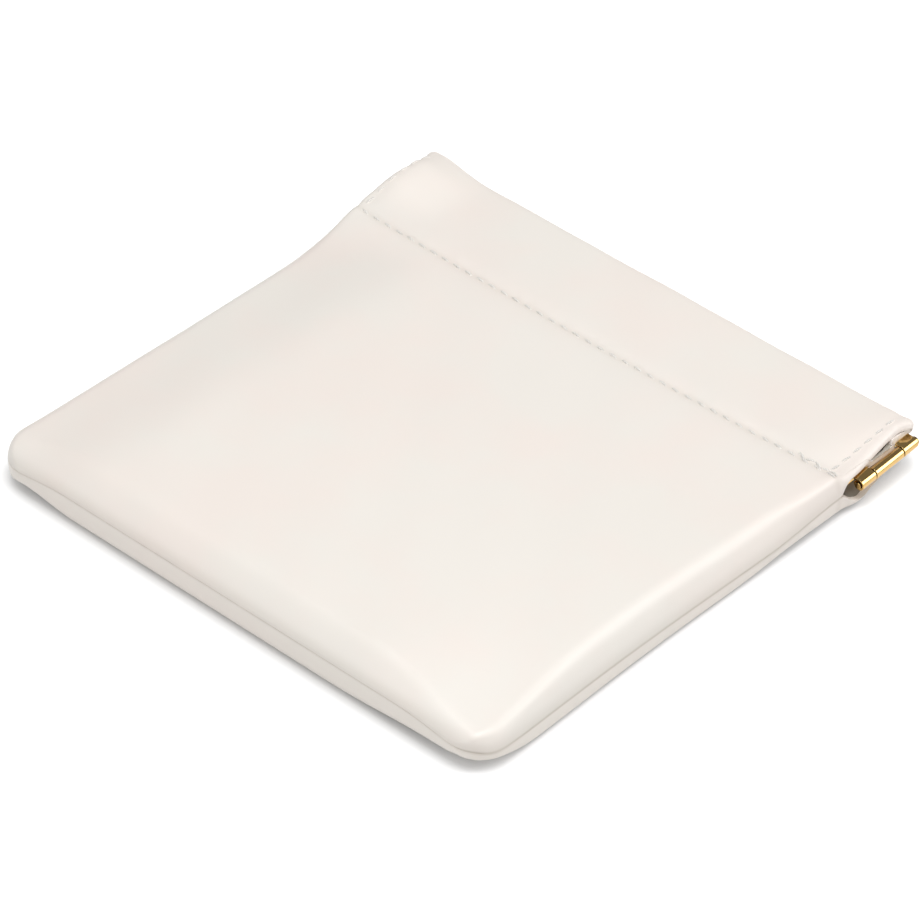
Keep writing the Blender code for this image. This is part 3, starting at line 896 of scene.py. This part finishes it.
def spring_end(name, side, way):
    """Ramps and rolls one end of a strip. side is 1 on the right, way is 1 on the front."""
    leaf_start = side * (flexure_place + leaf_gap)
    ramp_start = side * (pin_place - ramp_length - roll_radius)
    cuts = (outer_knuckle, outer_knuckle + knuckle_gap,
            strip_width - outer_knuckle - knuckle_gap, strip_width - outer_knuckle)
    bpy.ops.object.select_all(action="DESELECT")
    bpy.ops.mesh.primitive_plane_add(
        size=1.0, location=((leaf_start + ramp_start) / 2, strip_place,
                            mouth_level + way * leaf_offset))
    strip = bpy.context.object
    strip.name = name
    strip.scale = (abs(ramp_start - leaf_start), strip_width, 1.0)
    bpy.ops.object.transform_apply(location=True, rotation=False, scale=True)
    bpy.ops.object.mode_set(mode="EDIT")
    bpy.ops.mesh.select_mode(type="EDGE")
    for across in cuts:
        bpy.ops.mesh.select_all(action="SELECT")
        bpy.ops.mesh.bisect(plane_co=(0.0, strip_place - strip_width / 2 + across, 0.0),
                            plane_no=(0.0, 1.0, 0.0))
    bpy.ops.mesh.select_all(action="DESELECT")
    sheet = bmesh.from_edit_mesh(strip.data)
    for edge in sheet.edges:
        edge.select = all(abs(corner.co.x - ramp_start) < tolerance for corner in edge.verts)
    bmesh.update_edit_mesh(strip.data)
    kept = (0, 4) if way > 0 else (2,)
    level = leaf_offset
    for step in range(1, ramp_steps + 1):
        if step == split_step:
            sheet = bmesh.from_edit_mesh(strip.data)
            for edge in sheet.edges:
                if edge.select:
                    across = (edge.verts[0].co.y + edge.verts[1].co.y) / 2
                    across += strip_width / 2 - strip_place
                    knuckle = sum(across > cut for cut in cuts)
                    edge.select = knuckle in kept
            sheet.select_flush_mode()
            bmesh.update_edit_mesh(strip.data)
        lower = mix(leaf_offset, roll_radius, ease(0.0, 1.0, step / ramp_steps))
        extrude_by(side * ramp_length / ramp_steps, 0.0, way * (lower - level))
        level = lower
    extrude_by(side * roll_radius, 0.0, 0.0)
    bpy.ops.mesh.spin(steps=roll_steps, angle=rolled_angle, axis=(0.0, -side * way, 0.0),
                      center=(side * pin_place, 0.0, mouth_level))
    bpy.ops.mesh.select_all(action="SELECT")
    bpy.ops.mesh.remove_doubles(threshold=tolerance)
    bpy.ops.mesh.normals_make_consistent(inside=False)
    bpy.ops.object.mode_set(mode="OBJECT")
    thickness = strip.modifiers.new("Thickness", "SOLIDIFY")
    thickness.thickness = strip_thickness
    thickness.offset = 0.0
    thickness.use_even_offset = True
    thickness.use_quality_normals = True
    deburred = strip.modifiers.new("Deburred edges", "BEVEL")
    deburred.width = 0.00006
    deburred.segments = 2
    deburred.limit_method = "ANGLE"
    deburred.angle_limit = math.radians(50.0)
    for modifier in list(strip.modifiers):
        bpy.ops.object.modifier_apply(modifier=modifier.name)
    for corner in strip.data.vertices:
        twist = hinge_tilt * ease(flexure_place, abs(ramp_start), abs(corner.co.x))
        corner.co.z += twist * (corner.co.y - level_place)
    bpy.ops.object.mode_set(mode="EDIT")
    bpy.ops.mesh.select_all(action="SELECT")
    bpy.ops.mesh.normals_make_consistent(inside=False)
    bpy.ops.object.mode_set(mode="OBJECT")
    bpy.ops.object.shade_smooth_by_angle(angle=math.radians(38.0))
    normals = [Vector() for corner in strip.data.vertices]
    for face in strip.data.polygons:
        for index in face.vertices:
            normals[index] += face.normal * face.area * square_millimetres
    strip.data.normals_split_custom_set_from_vertices([normal.normalized() for normal in normals])
    return strip


for side, side_name in ((-1, "left"), (1, "right")):
    for way, face_name in ((1, "front"), (-1, "back")):
        strip_end = spring_end(face_name + "_strip_" + side_name, side, way)
        strip_end.data.materials.append(strip_brass)
        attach(strip_end, face_name + "_frame_" + side_name)
        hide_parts(face_name + "_spring_" + side_name)


# Hinge pins: turned brass pins, one at each end of the mouth. The head faces the bottom
# seam and the far end is peened over, so that the three knuckles can't slide off.
head_radius = 0.00056
head_thickness = 0.0001
peened_radius = 0.0007
peened_thickness = 0.0002
pin_overrun = 0.0004
pin_sides = 32
chamfer = 0.00005
pin_brass = brass_material("pin_brass", (0.52, 0.35, 0.13), (0.36, 0.23, 0.08), 0.18)


def hinge_pin(name, side):
    """Turns one pin: a shaft with a chamfered head at its near end and a peened far end."""
    shaft = strip_width + pin_overrun
    bpy.ops.object.select_all(action="DESELECT")
    bpy.ops.mesh.primitive_cylinder_add(
        vertices=pin_sides, radius=pin_radius, depth=shaft, rotation=(math.pi / 2, 0.0, 0.0),
        location=(side * pin_place, strip_place, mouth_level))
    pin = bpy.context.object
    pin.name = name
    bpy.ops.object.transform_apply(location=True, rotation=True, scale=True)
    ends = ((-1.0, head_radius, head_thickness), (1.0, peened_radius, peened_thickness))
    for facing, radius, length in ends:
        bpy.ops.object.mode_set(mode="EDIT")
        bpy.ops.mesh.select_mode(type="FACE")
        bpy.ops.mesh.select_all(action="DESELECT")
        turned = bmesh.from_edit_mesh(pin.data)
        end_place = strip_place + facing * shaft / 2
        for face in turned.faces:
            at_end = abs(face.calc_center_median().y - end_place) < head_thickness
            face.select = at_end and face.normal.y * facing > 0.9
        bmesh.update_edit_mesh(pin.data)
        cursor = (side * pin_place, end_place, mouth_level)
        grow = radius / pin_radius
        extrude_by(0.0, 0.0, 0.0)
        bpy.ops.transform.resize(value=(grow, 1.0, grow), center_override=cursor)
        extrude_by(0.0, facing * length, 0.0)
        bpy.ops.mesh.bevel(offset=chamfer, segments=3, affect="EDGES")
        bpy.ops.object.mode_set(mode="OBJECT")
    for corner in pin.data.vertices:
        corner.co.z += hinge_tilt * (corner.co.y - level_place)
    bpy.ops.object.shade_smooth_by_angle(angle=math.radians(35.0))
    return pin


for side, side_name in ((-1, "left"), (1, "right")):
    pin = hinge_pin(side_name + "_pin", side)
    pin.data.materials.append(pin_brass)
    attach(pin, "front_frame_" + side_name)
    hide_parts("hinge_pin_" + side_name)


# Threads: bonded white sewing thread. One row runs across each casing below the strip
# and is sewn back over itself at the right, and short rows close the casing's turned ends.
stitch_length = 0.00185
stitch_sag = 0.00010
thread_radius = 0.00021
proud_share = 0.15
sewing_height = 0.05
row_start = -0.0462
row_stitches = 39
stitch_pitch = 0.00246
tack_start = 0.0474
tack_stitches = 5
tack_pitch = 0.0015
above_row = 0.0006
end_row_start = stitch_line + 0.0024
end_row_stitches = 6
end_row_pitch = 0.0025


def thread_material():
    """Twisted white thread with a soft sheen, darker along the grooves of its twist as painted shade."""
    material, shader, nodes, links = new_material("sewing_thread", (0.86, 0.83, 0.79), 0.55)
    shader.inputs["Sheen Weight"].default_value = 0.2
    place = nodes.new("ShaderNodeTexCoord")
    twist = nodes.new("ShaderNodeTexWave")
    twist.bands_direction = "DIAGONAL"
    twist.inputs["Scale"].default_value = 1400.0
    twist.inputs["Distortion"].default_value = 0.3
    links.new(place.outputs["Object"], twist.inputs["Vector"])
    # Painted shade along the grooves of the twist.
    twist_shade = colour_mix(nodes, (0.72, 0.69, 0.65), (0.88, 0.85, 0.81))
    links.new(twist.outputs["Fac"], twist_shade.inputs["Factor"])
    links.new(twist_shade.outputs["Result"], shader.inputs["Base Color"])
    add_relief(nodes, links, twist.outputs["Fac"], shader, 0.00004, 0.5)
    return material


sewing_thread = thread_material()


def sew(name, panel, way, places):
    """Lays one stitch at each place, x, y, heading, on a panel's outer face."""
    bpy.ops.object.select_all(action="DESELECT")
    bpy.ops.mesh.primitive_uv_sphere_add(segments=8, ring_count=6, radius=thread_radius)
    stitch = bpy.context.object
    for corner in stitch.data.vertices:
        corner.co.x *= stitch_length / 2 / thread_radius
        corner.co.z -= stitch_sag * (corner.co.x * 2 / stitch_length) ** 2
    stitches = []
    for x, y, heading in places:
        start = Vector((x, y, way * sewing_height))
        struck, point, normal = panel.ray_cast(start, Vector((0.0, 0.0, -way)))[:3]
        if not struck:
            continue
        copy = stitch.copy()
        copy.data = stitch.data.copy()
        bpy.context.scene.collection.objects.link(copy)
        along = Vector((math.cos(heading), math.sin(heading), 0.0))
        along = (along - normal * along.dot(normal)).normalized()
        across = normal.cross(along)
        laid = Matrix.Identity(4)
        laid.col[0][:3], laid.col[1][:3], laid.col[2][:3] = along, across, normal
        laid.translation = point + normal * thread_radius * proud_share
        copy.data.transform(laid)
        shares = copy.data.attributes.new("stitch_share", "FLOAT", "POINT")
        for share in shares.data:
            share.value = opening_share(x, y, way)
        stitches.append(copy)
    bpy.data.objects.remove(stitch)
    for copy in stitches:
        copy.select_set(True)
    bpy.context.view_layer.objects.active = stitches[0]
    bpy.ops.object.join()
    thread = bpy.context.object
    thread.name = name
    bpy.ops.object.shade_smooth()
    thread.data.materials.append(sewing_thread)
    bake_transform(thread, "pouch_body", "front_frame_middle",
             start=(0.0, -middle_line, 0.0), end=(0.0, stitch_line - middle_line, 0.0))
    shares = thread.data.attributes["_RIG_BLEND"].data
    for share, own in zip(shares, thread.data.attributes["stitch_share"].data):
        share.value = own.value


for way, face_name, panel in ((1, "front", front_panel), (-1, "back", back_panel)):
    places = []
    for count in range(row_stitches):
        x = row_start + count * stitch_pitch
        places.append((x, stitch_row(x) - middle_line, math.radians(-9.0 * way)))
    for count in range(tack_stitches):
        x = tack_start - count * tack_pitch
        heading = (28.0 if count % 2 else -24.0) * way
        places.append((x, stitch_row(x) - middle_line + above_row, math.radians(heading)))
    for x in end_rows:
        for count in range(end_row_stitches):
            y = end_row_start + count * end_row_pitch
            places.append((x, y - middle_line, math.radians(90.0 - 8.0 * way)))
    sew(face_name + "_hem_thread", panel, way, places)
